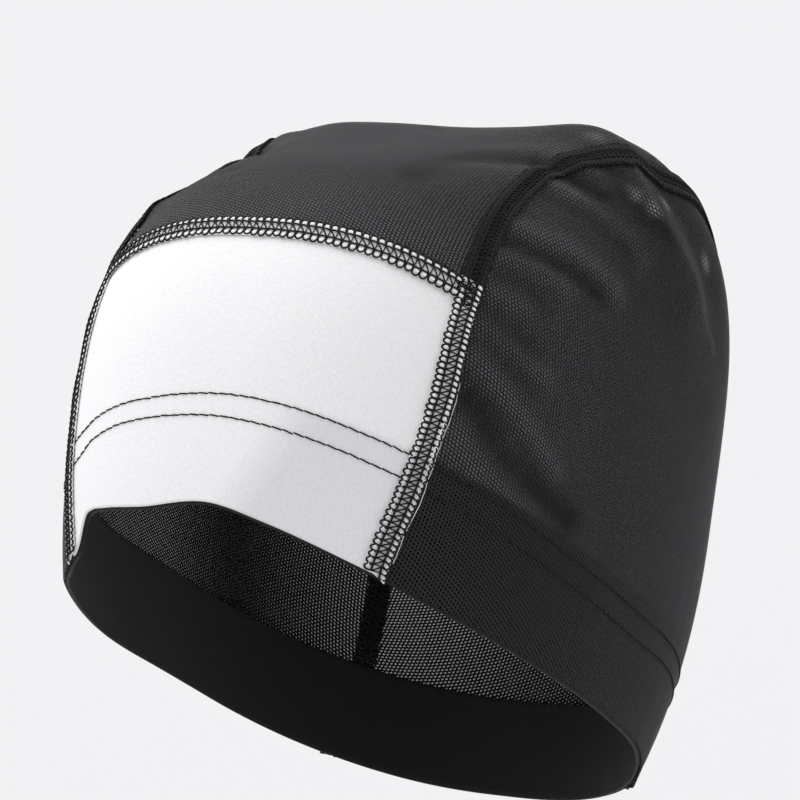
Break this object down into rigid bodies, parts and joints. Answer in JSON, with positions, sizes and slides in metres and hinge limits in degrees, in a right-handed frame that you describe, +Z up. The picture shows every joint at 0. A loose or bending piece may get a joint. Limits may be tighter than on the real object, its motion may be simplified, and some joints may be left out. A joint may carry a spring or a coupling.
{
  "type": "mesh swim cap",
  "caption": "Swim cap of black fine mesh with a white knit forehead panel, flat seams and a lined hem, in its worn form.",
  "frame": {"origin": "the inner face of the crown straight above the hollow's middle, where the top of a head bears against it", "axes": "+Z up, the forehead panel towards -Y, the wearer's left towards +X; the cap leans back about 14 degrees as it is worn in the picture"},
  "size_m": [0.1557, 0.2003, 0.1895],
  "materials": {
    "white_knit": "smooth matt fine knit",
    "black_mesh": "matt fine mesh with small round holes",
    "band_cloth": "matt knit lining",
    "seam_thread": "dense flat seam of overlock thread"
  },
  "bodies": {
    "root": {"front_panel": "white_knit", "crown_panel": "black_mesh", "side_panel_left": "black_mesh", "side_panel_right": "black_mesh", "hem_facing": "band_cloth", "seam_left": "seam_thread", "seam_right": "seam_thread", "seam_front": "seam_thread"}
  },
  "joints": []
}
